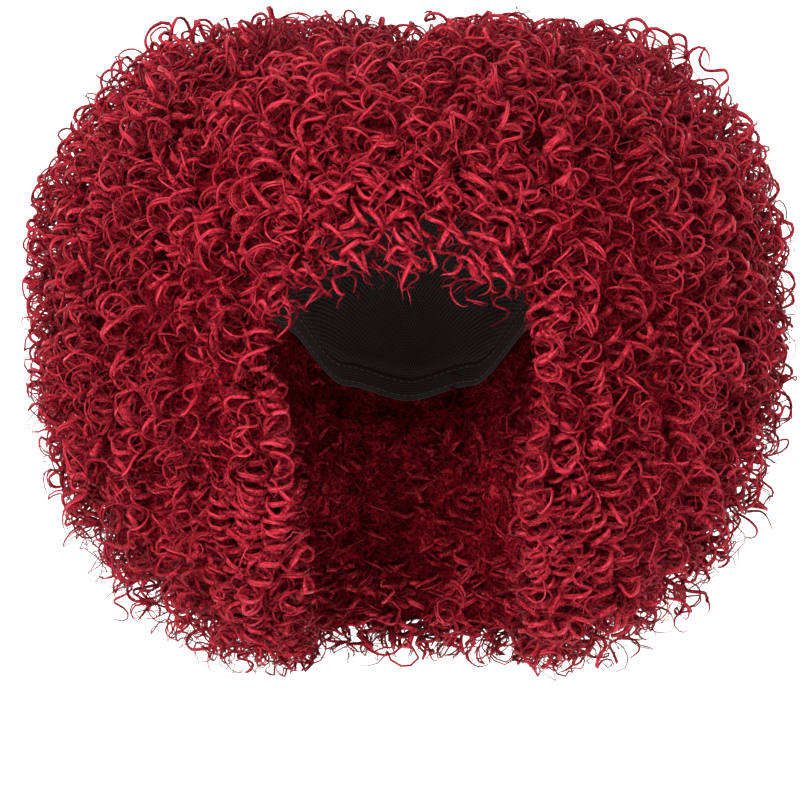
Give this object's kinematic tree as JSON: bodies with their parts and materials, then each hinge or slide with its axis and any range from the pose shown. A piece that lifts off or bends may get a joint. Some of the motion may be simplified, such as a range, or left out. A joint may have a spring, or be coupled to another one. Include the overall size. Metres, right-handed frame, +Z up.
{
  "type": "afro wig",
  "caption": "Full afro wig of dark red corkscrew curls with a short curly fringe, sewn to a hollow stretch cap with a rim band.",
  "frame": {"origin": "point where the crown of the head touches the inside of the cap", "axes": "+Z up along the head, -Y out of the face opening, +X to the right of a viewer who faces the wig"},
  "size_m": [0.3937, 0.3092, 0.3363],
  "materials": {
    "hair": "satin dark red synthetic hair in tight corkscrew curls",
    "cap_net": "matte dark stretch net",
    "band": "matte woven elastic"
  },
  "bodies": {
    "root": {"wig_cap": "cap_net", "rim_band": "band", "fringe_curls": "hair", "crown_curls_left": "hair", "crown_curls_right": "hair", "back_curls": "hair", "side_curls_left": "hair", "side_curls_right": "hair", "nape_curls": "hair"}
  },
  "joints": []
}
